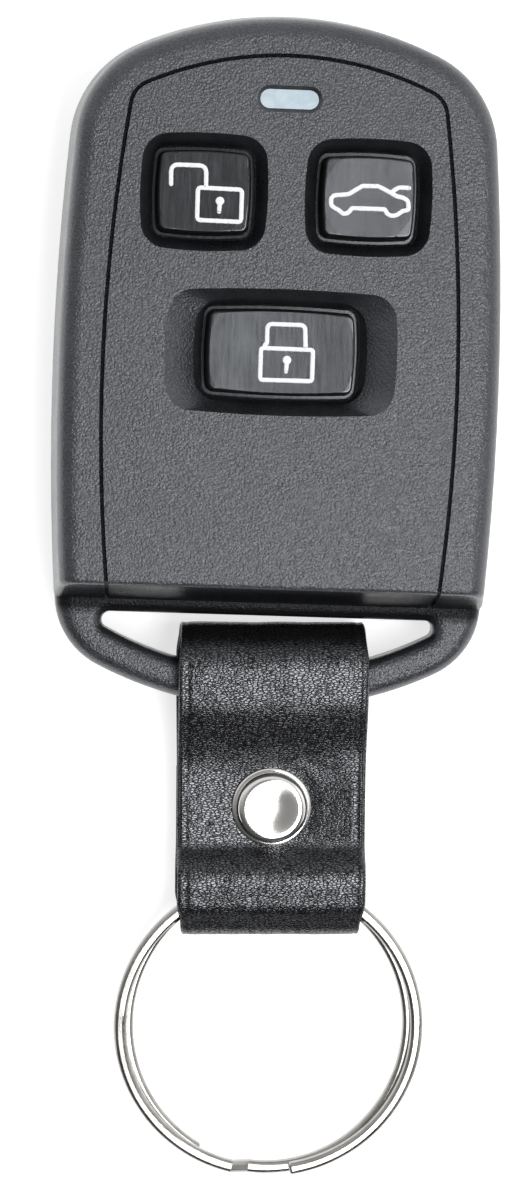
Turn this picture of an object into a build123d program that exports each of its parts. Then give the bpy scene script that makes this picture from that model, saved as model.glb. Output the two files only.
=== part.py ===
from build123d import *
import math
import os
from collections import namedtuple

# Car key fob on a leather strap with a split ring, in millimetres.
# The fob lies on its back on z = 0 with its buttons up. +Y points to the arched end,
# x = 0 is the fob's line of symmetry, and the strap and ring run towards -Y.

# Case outline, seen from above at the parting line
HALF_WIDTH = 19.05
SIDE_RADIUS = 244.0
WIDEST_Y = -2.0
TOP_Y = 29.2
TOP_RADIUS = 30.5
TOP_CORNER = 9.5
BOTTOM_Y = -29.8
BOTTOM_RADIUS = 33.0
BOTTOM_CORNER = 6.8

# Case heights and walls
PARTING_Z = 6.5
FACE_Z = 12.6
END_FOOT_Y = -20.6
END_LEAN = 1.55
FRONT_DRAFT = 6.1
REAR_DRAFT = 3.0
FACE_ROUND = 1.7
END_ROUND = 0.6
BACK_ROUND = 1.5
WALL = 1.2
FACE_WALL = 1.6
FLOOR = 1.3

# Lip of the front cover and the snap hooks that grip the rear cover
LIP_GAP = 0.12
LIP = 0.6
LIP_DOWN = 1.0
LIP_UP = 1.4
LIP_ROOT = 0.3
HOOK_YS = (-11.0, 2.0, 15.0)
HOOK_WIDTH = 3.0
HOOK_DOWN = 2.6
BARB = 0.3
BARB_HEIGHT = 0.7
BARB_ROOM = 0.12

# Bail that the strap loops round, moulded with the rear cover
BAIL_PROUD = 0.03
BAIL_WIDTH = 3.25
BAIL_UNDER_Z = 2.4
BAIL_ROUND = 1.5
BAIL_ROOT_Y = -18.2
SLOT_TOP_Y = -21.75
SLOT_HALF = 14.2
SLOT_CORNER = 0.7
SLOT_ROUND = 1.1

# Groove that frames the face, measured in from the case outline
GROOVE_HALF = 14.9
GROOVE_DROP = 3.7
GROOVE_SIDE_RADIUS = 160.0
GROOVE_TOP_RADIUS = 28.5
GROOVE_CORNER = 2.2
GROOVE_WIDTH = 0.34
GROOVE_DEPTH = 0.3

# Buttons: places are measured down from the arched end
ROW_DROP = 15.25
ROW_HALF_PITCH = 6.88
LOCK_DROP = 28.4
SMALL_CAP = (7.75, 6.85)
LONG_CAP = (12.4, 6.95)
SMALL_MOAT = (10.7, 9.85)
LONG_MOAT = (14.6, 8.9)
LONG_SCOOP = (19.5, 10.6)
SCOOP_DEPTH = 1.3
CAP_PROUD = 0.3
CAP_DRAFT = 4.0
CAP_BOW = 0.22
CAP_CORNER = 0.7
CAP_EDGE = 0.22
CAP_DISH_RADIUS = 250.0
CAP_GAP = 0.2
FLANGE_WIDTH = 0.6
FLANGE_THICK = 0.55
FLANGE_PLAY = 0.05
MOAT_DEPTH = 2.0
MOAT_FLOOR = 0.15
MOAT_CORNER = 2.2
MOAT_BOW = 0.35
APERTURE_LIP = 0.8
SLEEVE_GAP = 0.2
SLEEVE_WALL = 0.7

# Lamp window in the face, above the buttons
LAMP_DROP = 7.3
LAMP_WIDTH = 4.9
LAMP_HEIGHT = 1.6
LAMP_SUNK = 0.25
LAMP_GAP = 0.05
LAMP_RIM = 0.3
LAMP_FLANGE = 0.55
LAMP_FLANGE_THICK = 0.7
LAMP_NECK = (3.0, 1.3)
LAMP_AIR = 0.4

# Silicone keypad mat with a dome under each cap
MAT_THICK = 0.5
MAT_RIM = 1.0
MAT_MARGIN = 1.0
MAT_CORNER = 2.0
MAT_PLAY = 0.05
DOME_FOOT = 0.9
DOME_SHOULDER = -0.3
DOME_WEB = 0.4
DOME_ROOF = 0.5
DOME_BOSS_RADIUS = 1.5
CAP_TRAVEL = 0.5
PLUNGER_SHARE = 0.5
SWITCH_PROUD = 0.2

# Circuit board and what it carries on top
BOARD_THICK = 1.0
BOARD_INSET = 2.4
SWITCH_SIZE = 4.5
SWITCH_HEIGHT = 1.6
SWITCH_CORNER = 0.6
SWITCH_BORE = 1.2
PLUNGER_RADIUS = 1.13
PLUNGER_LENGTH = 1.3
PLUNGER_SPARE = 0.1
SWITCH_LEG = (1.0, 0.6, 0.2)
LED_SIZE = (3.0, 1.5, 1.0)
LED_LENS_RADIUS = 0.55
CHIP_SIZE = (6.2, 4.0, 1.3)
CHIP_LEGS = 5
CHIP_LEG_PITCH = 1.1
CHIP_LEG = (0.4, 0.9, 0.2)
CHIP_X = -5.2
CHIP_ROW_ABOVE_END = 8.2
CAN_X = 5.8
CAN_RADIUS = 2.3
CAN_HEIGHT = 2.2
CAN_BRIM = 0.35
ANTENNA_HALF = 8.6
ANTENNA_RISE = 2.5
ANTENNA_WIRE = 0.35
ANTENNA_ABOVE_END = 4.1
ANTENNA_BEND = 1.2
CHIP_PART = (1.6, 0.8, 0.6)
CHIP_PART_XS = (-11.3, 0.2, 10.6)
CHIP_PART_STEP = 2.4

# Posts that carry the board, with locating pins
POST_YS = (-13.0, 12.0)
POST_RADIUS = 1.5
POST_EDGE = 1.75
PIN_RADIUS = 0.65
PIN_GAP = 0.12
CLAMP_PLAY = 0.05

# Coin cell and its two contacts, under the board
CELL_RADIUS = 10.0
CELL_HEIGHT = 3.2
CELL_CAP_RADIUS = 8.85
CELL_CAP_STEP = 0.3
CELL_FROM_END = 13.0
CELL_SIDE_GAP = 0.45
STRIP = 0.2
CLIP_WIDTH = 5.0
CLIP_FOOT = 1.7
CLIP_WINDOW = 0.7
CONTACT_WIDTH = 4.0
CONTACT_HALF = 7.0
CONTACT_FLAT = 4.2
CONTACT_RAMP = 0.9
COLLAR_WALL = 0.7
COLLAR_HEIGHT = 3.2
PAD_RADIUS = 3.0
PAD_HEIGHT = 0.6

# Leather strap: one band looped round the bail and the ring
STRAP_WIDTH = 16.0
LEATHER = 1.0
LAP_GAP = 0.03
STRAP_X = 0.6
STRAP_YAW = 1.6
PIVOT_Y = -27.2
FOLD_FORWARD = 0.7
UPPER_LOOP = 3.2
LOWER_LOOP = 2.2
FOLD_DISTANCE = 19.8
RIVET_DISTANCE = 11.6
WAIST_HALF = 3.7
FRONT_WAIST_HALF = 6.2
WAIST_BEND = 1.5
FRONT_BEND = 4.0
CREST_RUN = 2.3
DRAW_IN = 0.42
DRAW_RUN = 2.2
END_OVERLAP = 3.6
END_SHORT = 0.6
FOLD_FLAT = 0.1
FLOOR_GAP = 0.03

# Rivet through the strap's waist
RIVET_RIM = 3.43
RIVET_RIM_THICK = 0.35
RIVET_RIM_ROUND = 0.25
RIVET_DOME = 3.12
RIVET_RISE = 1.5
RIVET_CROWN = 9.0
RIVET_EDGE = 0.75
RIVET_SHANK = 1.1
RIVET_HOLE_GAP = 0.1
RIVET_BACK = 3.1
RIVET_BACK_THICK = 0.7
RIVET_BACK_ROUND = 0.4
RIVET_SOCKET = 0.45
SHANK_GAP = 0.03

# Split ring of two turns of flat wire
RING_OUTER = 13.45
WIRE_WIDTH = 1.1
WIRE_HEIGHT = 0.95
WIRE_ROUND = 0.38
COIL_GAP = 0.1
RING_SEAT_GAP = 0.1
LOWER_TURN_OVAL = 0.6
WIRE_END_ROUND = 0.25
CRANK_AT = -10.9
CRANK_HALF = 3.1
CRANK_OPEN = 16.4

# Worked out from the sizes above
LEAN = math.degrees(math.atan(END_LEAN / (FACE_Z - PARTING_Z)))
FACE_UNDER_Z = FACE_Z - FACE_WALL
CAP_TOP_Z = FACE_Z + CAP_PROUD
APERTURE_Z = FACE_Z - MOAT_DEPTH
APERTURE_UNDER_Z = APERTURE_Z - APERTURE_LIP
FLANGE_TOP_Z = APERTURE_UNDER_Z - FLANGE_PLAY
FLANGE_Z = FLANGE_TOP_Z - FLANGE_THICK
CAP_SPREAD = (CAP_TOP_Z - APERTURE_UNDER_Z) * math.tan(math.radians(CAP_DRAFT))
APERTURE_GROW = CAP_SPREAD + CAP_GAP
FLANGE_GROW = APERTURE_GROW + FLANGE_WIDTH
POCKET_GROW = FLANGE_GROW + SLEEVE_GAP
SLEEVE_GROW = POCKET_GROW + SLEEVE_WALL
BOARD_Z = FLOOR + PAD_HEIGHT + CELL_HEIGHT + 3 * STRIP
BOARD_TOP = BOARD_Z + BOARD_THICK
SWITCH_TOP = BOARD_TOP + SWITCH_HEIGHT
MAT_TOP = SWITCH_TOP - SWITCH_PROUD
MAT_UNDER = MAT_TOP - MAT_THICK
PLUNGER_TOP = MAT_TOP + PLUNGER_SHARE * (FLANGE_Z - MAT_TOP)
PLUNGER_TRAVEL = CAP_TRAVEL * PLUNGER_SHARE
CELL_Y = END_FOOT_Y + CELL_FROM_END
CELL_TOP = BOARD_Z - 2 * STRIP
CELL_Z = CELL_TOP - CELL_HEIGHT
CLIP_HALF = CELL_RADIUS + CELL_SIDE_GAP
ROW_Y = TOP_Y - ROW_DROP
LOCK_Y = TOP_Y - LOCK_DROP
LAMP_Y = TOP_Y - LAMP_DROP
LAYER = LEATHER + LAP_GAP
RIVET_TOP = LAYER + LEATHER / 2
PIVOT_Z = (PARTING_Z + BAIL_UNDER_Z) / 2
LOWER_Z = LOWER_LOOP + LEATHER + FLOOR_GAP
STRAP_TILT = math.degrees(math.asin((PIVOT_Z - LOWER_Z) / (FOLD_DISTANCE - FOLD_FORWARD)))
COIL_OFFSET = (WIRE_HEIGHT + COIL_GAP) / 2
RING_HALF_HEIGHT = WIRE_HEIGHT + COIL_GAP / 2
RING_MIDDLE = RING_OUTER - WIRE_WIDTH / 2
TURN_SHIFT = LOWER_TURN_OVAL / (2 - math.sqrt(2))
TIP_RADIUS = RING_MIDDLE - TURN_SHIFT
SIDE_RADIUS_OF_TURN = RING_MIDDLE - LOWER_TURN_OVAL + TURN_SHIFT
REAR_WALL_IN = HOOK_DOWN * math.tan(math.radians(REAR_DRAFT))

# Larger than the whole piece, small enough to count as touching, the overlap of a root
# with what it grows from, and how far a cutting shape reaches past the surface
SPAN = 200.0
NEAR = 0.02
ROOT = 0.1
PAST = 1.0

Arch = namedtuple("Arch", "reach radius corner")
Button = namedtuple("Button", "name x y cap moat")
BUTTONS = (
    Button("unlock", -ROW_HALF_PITCH, ROW_Y, SMALL_CAP, SMALL_MOAT),
    Button("boot", ROW_HALF_PITCH, ROW_Y, SMALL_CAP, SMALL_MOAT),
    Button("lock", 0.0, LOCK_Y, LONG_CAP, LONG_SCOOP),
)


# Plan shapes
def disc(x, y, radius):
    return Pos(x, y) * Circle(radius)


def barrel(side, top, bottom, inset):
    """Space between a top arch, a bottom arch and two bowed sides, drawn in by inset.

    Each is an Arch; the corners that the top and the bottom arch make are rounded.
    """
    shape = disc(side.reach - side.radius, WIDEST_Y, side.radius - inset)
    shape &= disc(side.radius - side.reach, WIDEST_Y, side.radius - inset)
    shape &= disc(0, top.reach - top.radius, top.radius - inset)
    shape &= disc(0, bottom.reach + bottom.radius, bottom.radius - inset)
    shape = fillet(shape.vertices().sort_by(Axis.Y)[2:], top.corner - inset)
    return fillet(shape.vertices().sort_by(Axis.Y)[:2], bottom.corner - inset)


def pillow(size, grow, corner, bow):
    """Rectangle with bowed sides and rounded corners, grown by the same amount all round."""
    half_x = size[0] / 2 + grow
    half_y = size[1] / 2 + grow
    inner_x = half_x - bow
    inner_y = half_y - bow
    right = ThreePointArc((inner_x, -inner_y), (half_x, 0), (inner_x, inner_y))
    top = ThreePointArc((inner_x, inner_y), (0, half_y), (-inner_x, inner_y))
    left = ThreePointArc((-inner_x, inner_y), (-half_x, 0), (-inner_x, -inner_y))
    bottom = ThreePointArc((-inner_x, -inner_y), (0, -half_y), (inner_x, -inner_y))
    shape = make_face([right, top, left, bottom])
    return fillet(shape.vertices(), corner + max(grow, 0.0) / 2)


def stadium(width, height):
    return SlotOverall(width, height)


def above(y):
    """Half of the plan that lies beyond y, towards the arched end."""
    return Pos(0, y + SPAN / 2) * Rectangle(SPAN, SPAN)


def case_plan(inset=0.0):
    side = Arch(HALF_WIDTH, SIDE_RADIUS, 0.0)
    top = Arch(TOP_Y, TOP_RADIUS, TOP_CORNER)
    bottom = Arch(BOTTOM_Y, BOTTOM_RADIUS, BOTTOM_CORNER)
    return barrel(side, top, bottom, inset)


def closed_plan(inset):
    """Outline of the closed part of the case, without the bail, drawn in by inset."""
    return case_plan(inset) & above(END_FOOT_Y + inset)


def half_width_at(y):
    """Half width of the case outline along its bowed side."""
    return HALF_WIDTH - SIDE_RADIUS + math.sqrt(SIDE_RADIUS**2 - (y - WIDEST_Y) ** 2)


def at_z(z, shape):
    return Pos(0, 0, z) * shape


def slab(shape, low, high):
    """Straight prism of a plan shape between two heights."""
    return extrude(at_z(low, shape), high - low)


def post(x, y, radius, low, high):
    return slab(disc(x, y, radius), low, high)


def block(x, y, size, low):
    """Box centred on x and y that stands on the height low."""
    return Pos(x, y, low) * Box(*size, align=(Align.CENTER, Align.CENTER, Align.MIN))


def all_posts(radius, low, high):
    posts = []
    for y in POST_YS:
        x = half_width_at(y) - BOARD_INSET - POST_EDGE
        posts += [post(x, y, radius, low, high), post(-x, y, radius, low, high)]
    return posts


# Front cover
def front_block(inset, top_z):
    """Drafted block above the parting line, with the leaning end wall cut."""
    body = extrude(at_z(PARTING_Z, case_plan(inset)), top_z - PARTING_Z, taper=FRONT_DRAFT)
    beyond = Box(SPAN, SPAN, SPAN, align=(Align.CENTER, Align.MAX, Align.CENTER))
    return body - Pos(0, END_FOOT_Y + inset, PARTING_Z) * Rot(-LEAN, 0, 0) * beyond


def rounded_front():
    """Outside of the front cover with the soft shoulder round its face."""
    body = front_block(0, FACE_Z)
    face_edges = body.faces().sort_by(Axis.Z)[-1].edges()
    body = fillet(face_edges.sort_by(Axis.Y)[1:], FACE_ROUND)
    end_edges = body.faces().sort_by(Axis.Y)[0].edges()
    return fillet(end_edges.sort_by(Axis.Z)[1:], END_ROUND)


def face_groove():
    """Thin line cut round the face, which runs off over the end wall."""
    side = Arch(GROOVE_HALF, GROOVE_SIDE_RADIUS, 0.0)
    top = Arch(TOP_Y - GROOVE_DROP, GROOVE_TOP_RADIUS, GROOVE_CORNER)
    bottom = Arch(BOTTOM_Y, BOTTOM_RADIUS, GROOVE_CORNER)
    ring = barrel(side, top, bottom, -GROOVE_WIDTH / 2) - barrel(side, top, bottom, GROOVE_WIDTH / 2)
    over_face = slab(ring, FACE_Z - GROOVE_DEPTH, FACE_Z + PAST)
    down_end = slab(ring, PARTING_Z, FACE_Z + PAST)
    return over_face + (down_end - front_block(GROOVE_DEPTH, FACE_Z + 2 * PAST))


def button_well(button):
    """Guide sleeve that hangs under the face round one cap's flange."""
    place = Pos(button.x, button.y)
    outside = place * pillow(button.cap, SLEEVE_GROW, CAP_CORNER, CAP_BOW)
    return slab(outside, MAT_TOP + MAT_PLAY, FACE_UNDER_Z + ROOT)


def moat(button):
    """Funnel in the face that narrows to a thin floor round the aperture.

    The long button's funnel is shallow at first, like a scoop, and steep near the cap.
    """
    rim = pillow(button.moat, 0, MOAT_CORNER, MOAT_BOW)
    floor = pillow(button.cap, APERTURE_GROW + MOAT_FLOOR, CAP_CORNER, CAP_BOW)
    outlines = [at_z(FACE_Z, rim).face(), at_z(APERTURE_Z, floor).face()]
    if button.moat == LONG_SCOOP:
        scoop_end = pillow(LONG_MOAT, 0, MOAT_CORNER, MOAT_BOW)
        outlines.insert(1, at_z(FACE_Z - SCOOP_DEPTH, scoop_end).face())
    return loft(outlines, ruled=True) + slab(rim, FACE_Z, FACE_Z + PAST)


def button_cut(button):
    """Moat, aperture and flange pocket of one button."""
    place = Pos(button.x, button.y)
    mouth = place * pillow(button.cap, APERTURE_GROW, CAP_CORNER, CAP_BOW)
    pocket = place * pillow(button.cap, POCKET_GROW, CAP_CORNER, CAP_BOW)
    throat = slab(mouth, APERTURE_UNDER_Z - ROOT, APERTURE_Z + ROOT)
    return place * moat(button) + throat + slab(pocket, MAT_TOP, APERTURE_UNDER_Z)


def lamp_cut():
    place = Pos(0, LAMP_Y)
    hole = place * stadium(LAMP_WIDTH + 2 * LAMP_GAP, LAMP_HEIGHT + 2 * LAMP_GAP)
    rim = place * stadium(LAMP_WIDTH + 2 * LAMP_RIM, LAMP_HEIGHT + 2 * LAMP_RIM)
    sunk_z = FACE_Z - LAMP_SUNK
    bevel = loft([at_z(FACE_Z, rim).face(), at_z(sunk_z, hole).face()], ruled=True)
    return slab(hole, FACE_UNDER_Z - PAST, FACE_Z) + bevel


def lip():
    """Inner lip that drops inside the rear cover's wall, with its root on the front cover."""
    inner = closed_plan(WALL + LIP_GAP + LIP)
    tongue = closed_plan(WALL + LIP_GAP) - inner
    root = closed_plan(WALL - LIP_ROOT) - inner
    tongue = slab(tongue, PARTING_Z - LIP_DOWN, PARTING_Z + ROOT)
    return tongue + slab(root, PARTING_Z, PARTING_Z + LIP_UP)


def hook_wall_x(y):
    """Inner face of the rear cover's wall at a hook's tip, where the wall is nearest."""
    narrow = min(half_width_at(y - HOOK_WIDTH / 2), half_width_at(y + HOOK_WIDTH / 2))
    return narrow - WALL - REAR_WALL_IN


def hook(y, side):
    """Snap hook with a barb that points outwards; side is +1 or -1."""
    low = PARTING_Z - HOOK_DOWN
    arm_x = hook_wall_x(y) - LIP_GAP - LIP / 2
    arm = block(side * arm_x, y, (LIP, HOOK_WIDTH, HOOK_DOWN + LIP_UP), low)
    catch = (hook_wall_x(y) + BARB, low + BARB_HEIGHT)
    wedge = make_face(Polyline((arm_x, low), catch, (arm_x, low + BARB_HEIGHT), close=True))
    wedge = extrude(Plane.XZ * wedge, HOOK_WIDTH / 2, both=True)
    barb = Pos(0, y, 0) * wedge
    if side < 0:
        barb = mirror(barb, Plane.YZ)
    return arm + barb


def hook_pocket(y, side):
    """Pocket in the rear cover's wall that a barb catches in."""
    depth = BARB + BARB_ROOM
    low = PARTING_Z - HOOK_DOWN - BARB_ROOM
    size = (2 * depth, HOOK_WIDTH + 2 * BARB_ROOM, BARB_HEIGHT + 2 * BARB_ROOM)
    return block(side * hook_wall_x(y), y, size, low)


def front_cover():
    body = rounded_front() - front_block(WALL, FACE_UNDER_Z)
    body += lip()
    for y in HOOK_YS:
        body += [hook(y, 1), hook(y, -1)]
    body += all_posts(POST_RADIUS, BOARD_TOP + CLAMP_PLAY, FACE_UNDER_Z + ROOT)
    body += [button_well(button) for button in BUTTONS]
    body -= [button_cut(button) for button in BUTTONS]
    return body - lamp_cut() - face_groove()


# Rear cover with the bail
def slot_plan():
    centre_y = BOTTOM_Y + BOTTOM_RADIUS
    shape = disc(0, centre_y, BOTTOM_RADIUS - BAIL_WIDTH) - above(SLOT_TOP_Y)
    shape &= Rectangle(2 * SLOT_HALF, SPAN)
    return fillet(shape.vertices(), SLOT_CORNER)


def runs_round(edge, outline):
    """True for a level edge that lies above or below the outline."""
    middle = edge @ 0.5
    level = abs((edge @ 0).Z - middle.Z) < NEAR
    return level and outline.distance_to(Vector(middle.X, middle.Y, 0)) < NEAR


def bail():
    """Rounded loop at the lower end, with its root buried in the case."""
    body = extrude(at_z(PARTING_Z, case_plan(-BAIL_PROUD)), BAIL_UNDER_Z - PARTING_Z, taper=REAR_DRAFT)
    body -= slab(above(BAIL_ROOT_Y), 0, FACE_Z)
    body = fillet(body.edges().filter_by(GeomType.LINE, reverse=True), BAIL_ROUND)
    body -= slab(slot_plan(), 0, FACE_Z)
    outline = slot_plan().face().outer_wire()
    return fillet([edge for edge in body.edges() if runs_round(edge, outline)], SLOT_ROUND)


def rear_tub():
    """Closed part of the rear cover, with a soft edge round its back."""
    plan = closed_plan(0)
    plan = fillet(plan.vertices().sort_by(Axis.Y)[:2], END_ROUND)
    body = extrude(at_z(PARTING_Z, plan), -PARTING_Z, taper=REAR_DRAFT)
    back_edges = body.faces().sort_by(Axis.Z)[0].edges()
    return fillet(back_edges, BACK_ROUND)


def cell_collar():
    """Ring wall that holds the cell, open where the clip's legs pass."""
    inner = CELL_RADIUS + CELL_SIDE_GAP
    ring = disc(0, CELL_Y, inner + COLLAR_WALL) - disc(0, CELL_Y, inner)
    ring -= Pos(0, CELL_Y) * Rectangle(SPAN, CLIP_WIDTH + 2 * CLIP_WINDOW)
    return slab(ring, FLOOR, FLOOR + COLLAR_HEIGHT)


def rear_cover():
    body = rear_tub() + bail()
    body -= extrude(at_z(PARTING_Z, closed_plan(WALL)), -(PARTING_Z - FLOOR), taper=REAR_DRAFT)
    body += all_posts(POST_RADIUS, FLOOR - ROOT, BOARD_Z)
    body += all_posts(PIN_RADIUS, BOARD_Z, BOARD_TOP)
    body += cell_collar()
    body += post(0, CELL_Y, PAD_RADIUS, FLOOR - ROOT, FLOOR + PAD_HEIGHT)
    for y in HOOK_YS:
        body -= [hook_pocket(y, 1), hook_pocket(y, -1)]
    return body


# Face pieces
def lamp_window():
    """Light pipe: window, seating flange and a neck over the lamp."""
    place = Pos(0, LAMP_Y)
    head = place * stadium(LAMP_WIDTH, LAMP_HEIGHT)
    flange = place * stadium(LAMP_WIDTH + 2 * LAMP_FLANGE, LAMP_HEIGHT + 2 * LAMP_FLANGE)
    neck = place * stadium(*LAMP_NECK)
    flange_z = FACE_UNDER_Z - LAMP_FLANGE_THICK
    neck_z = BOARD_TOP + LED_SIZE[2] + LED_LENS_RADIUS + LAMP_AIR
    body = slab(head, flange_z, FACE_Z - LAMP_SUNK)
    body += slab(flange, flange_z, FACE_UNDER_Z)
    return body + slab(neck, neck_z, flange_z)


def button_cap(button):
    """Cap with drafted skirt, dished top and the flange that keeps it in."""
    place = Pos(button.x, button.y)
    foot = at_z(FLANGE_Z, place * pillow(button.cap, CAP_SPREAD, CAP_CORNER, CAP_BOW)).face()
    body = extrude(foot, CAP_TOP_Z - FLANGE_Z, taper=CAP_DRAFT)
    body = fillet(body.faces().sort_by(Axis.Z)[-1].edges(), CAP_EDGE)
    body += slab(place * pillow(button.cap, FLANGE_GROW, CAP_CORNER, CAP_BOW), FLANGE_Z, FLANGE_TOP_Z)
    sag = button.cap[0] ** 2 / (8 * CAP_DISH_RADIUS)
    return body - Pos(button.x, button.y, CAP_TOP_Z + CAP_DISH_RADIUS - sag) * Sphere(CAP_DISH_RADIUS)


# Keypad mat
def mat_half_width():
    return ROW_HALF_PITCH + SMALL_CAP[0] / 2 + SLEEVE_GROW


def keypad_mat():
    """Silicone sheet that lies between board and sleeves, open under each dome."""
    top = ROW_Y + SMALL_CAP[1] / 2 + SLEEVE_GROW
    bottom = LOCK_Y - LONG_CAP[1] / 2 - SLEEVE_GROW - MAT_MARGIN
    wide = 2 * mat_half_width()
    long = top - bottom
    place = Pos(0, (top + bottom) / 2)
    body = slab(place * RectangleRounded(wide, long, MAT_CORNER), BOARD_TOP, MAT_TOP)
    inside = RectangleRounded(wide - 2 * MAT_RIM, long - 2 * MAT_RIM, MAT_CORNER - MAT_RIM)
    body -= slab(place * inside, BOARD_TOP, MAT_UNDER)
    for button in BUTTONS:
        opening = Pos(button.x, button.y) * pillow(button.cap, DOME_FOOT - DOME_WEB, CAP_CORNER, CAP_BOW)
        body -= slab(opening, BOARD_TOP, MAT_TOP)
    return body


def mat_dome(button):
    """Soft dome that stands on the mat, meets the cap's underside and sits on the plunger."""
    place = Pos(button.x, button.y)
    foot = place * pillow(button.cap, DOME_FOOT, CAP_CORNER, CAP_BOW)
    shoulder = place * pillow(button.cap, DOME_SHOULDER, CAP_CORNER, CAP_BOW)
    body = loft([at_z(MAT_TOP, foot).face(), at_z(FLANGE_Z, shoulder).face()], ruled=True)
    inner_foot = place * pillow(button.cap, DOME_FOOT - DOME_WEB, CAP_CORNER, CAP_BOW)
    inner_top = place * pillow(button.cap, DOME_SHOULDER - DOME_WEB / 2, CAP_CORNER, CAP_BOW)
    roof_z = FLANGE_Z - DOME_ROOF
    body -= loft([at_z(MAT_TOP, inner_foot).face(), at_z(roof_z, inner_top).face()], ruled=True)
    return body + post(button.x, button.y, DOME_BOSS_RADIUS, PLUNGER_TOP, roof_z + ROOT)


# Circuit board and its parts
def circuit_board():
    body = slab(closed_plan(BOARD_INSET), BOARD_Z, BOARD_TOP)
    return body - all_posts(PIN_RADIUS + PIN_GAP, BOARD_Z, BOARD_TOP)


def switch_body(button):
    """Small push switch with four legs and a bore for its plunger."""
    size = (SWITCH_SIZE, SWITCH_SIZE, SWITCH_HEIGHT)
    body = block(button.x, button.y, size, BOARD_TOP)
    body = chamfer(body.edges().filter_by(Axis.Z), SWITCH_CORNER)
    for side_x in (-1, 1):
        for side_y in (-1, 1):
            x = button.x + side_x * (SWITCH_SIZE / 2 + SWITCH_LEG[0] / 2 - 2 * ROOT)
            y = button.y + side_y * (SWITCH_SIZE / 2 - SWITCH_CORNER - SWITCH_LEG[1] / 2)
            body += block(x, y, SWITCH_LEG, BOARD_TOP)
    bore_z = PLUNGER_TOP - PLUNGER_LENGTH - PLUNGER_TRAVEL - PLUNGER_SPARE
    return body - post(button.x, button.y, SWITCH_BORE, bore_z, SWITCH_TOP)


def switch_plunger(button):
    low = PLUNGER_TOP - PLUNGER_LENGTH
    return post(button.x, button.y, PLUNGER_RADIUS, low, PLUNGER_TOP)


def status_led():
    body = block(0, LAMP_Y, LED_SIZE, BOARD_TOP)
    lens = Pos(0, LAMP_Y, BOARD_TOP + LED_SIZE[2]) * Sphere(LED_LENS_RADIUS)
    return body + lens


def controller_chip():
    y = END_FOOT_Y + CHIP_ROW_ABOVE_END
    raised = BOARD_TOP + CHIP_LEG[2] / 2
    body = block(CHIP_X, y, CHIP_SIZE, raised)
    first = -(CHIP_LEGS - 1) / 2 * CHIP_LEG_PITCH
    for number in range(CHIP_LEGS):
        x = CHIP_X + first + number * CHIP_LEG_PITCH
        reach = CHIP_SIZE[1] / 2 + CHIP_LEG[1] / 2 - ROOT
        body += [block(x, y + reach, CHIP_LEG, BOARD_TOP), block(x, y - reach, CHIP_LEG, BOARD_TOP)]
    return body


def resonator_can():
    """Round metal can with the brim of its sealed base."""
    y = END_FOOT_Y + CHIP_ROW_ABOVE_END
    can = post(CAN_X, y, CAN_RADIUS, BOARD_TOP, BOARD_TOP + CAN_HEIGHT)
    can = fillet(can.edges().sort_by(Axis.Z)[-1:], CAN_BRIM)
    return can + post(CAN_X, y, CAN_RADIUS + CAN_BRIM, BOARD_TOP, BOARD_TOP + CAN_BRIM)


def antenna_loop():
    """Wire staple that stands on the board behind the end wall."""
    y = END_FOOT_Y + ANTENNA_ABOVE_END
    top = BOARD_TOP + ANTENNA_RISE
    points = [(-ANTENNA_HALF, y, BOARD_TOP), (-ANTENNA_HALF, y, top), (ANTENNA_HALF, y, top)]
    points.append((ANTENNA_HALF, y, BOARD_TOP))
    path = FilletPolyline(*points, radius=ANTENNA_BEND)
    section = Pos(-ANTENNA_HALF, y, BOARD_TOP) * Circle(ANTENNA_WIRE)
    return sweep(section, path=path)


def chip_parts():
    """Columns of small two-ended parts beside the chip and the can."""
    y = END_FOOT_Y + CHIP_ROW_ABOVE_END
    pieces = []
    for x in CHIP_PART_XS:
        for step in (-1, 0, 1):
            pieces.append(block(x, y + step * CHIP_PART_STEP, CHIP_PART, BOARD_TOP))
    return Compound(children=[Solid(piece.solid().wrapped) for piece in pieces])


# Coin cell and contacts
def coin_cell():
    """Cell with its negative cap up."""
    can = post(0, CELL_Y, CELL_RADIUS, CELL_Z, CELL_TOP - CELL_CAP_STEP)
    can = fillet(can.edges(), CELL_CAP_STEP)
    return can + post(0, CELL_Y, CELL_CAP_RADIUS, CELL_TOP - CELL_CAP_STEP, CELL_TOP)


def positive_clip():
    """Sprung strip that runs under the cell and up to the board on both sides."""
    foot_z = BOARD_Z - STRIP / 2
    leg_x = CLIP_HALF
    low = CELL_Z - STRIP / 2
    points = [(-leg_x - CLIP_FOOT, foot_z), (-leg_x, foot_z), (-leg_x, low), (leg_x, low)]
    points += [(leg_x, foot_z), (leg_x + CLIP_FOOT, foot_z)]
    strip = trace(FilletPolyline(*points, radius=STRIP), STRIP)
    return Pos(0, CELL_Y, 0) * extrude(Plane.XZ * strip, CLIP_WIDTH / 2, both=True)


def negative_contact():
    """Bowed strip under the board that bears on the cell's cap."""
    high = BOARD_Z - STRIP / 2
    low = high - STRIP
    ramp = CONTACT_FLAT + CONTACT_RAMP
    points = [(-CONTACT_HALF, high), (-ramp, high), (-CONTACT_FLAT, low), (CONTACT_FLAT, low)]
    points += [(ramp, high), (CONTACT_HALF, high)]
    strip = trace(Polyline(*points), STRIP)
    return Pos(0, CELL_Y, 0) * extrude(Plane.YZ * strip, CONTACT_WIDTH / 2, both=True)


# Strap, rivet and ring. Each is drawn in the strap's own frame: the bail's pivot is the
# origin, +Y runs from the rivet towards the case and +Z is the strap's upper side.
def strap_frame():
    return Pos(STRAP_X, PIVOT_Y, PIVOT_Z) * Rot(0, 0, STRAP_YAW) * Rot(STRAP_TILT, 0, 0)


def fold_corner(radius, slope):
    """Height of the corner where a sloping run meets a fold's end, for a fillet of radius."""
    return radius * math.tan(math.radians((90 + slope) / 2)) + FOLD_FLAT / 2


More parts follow.
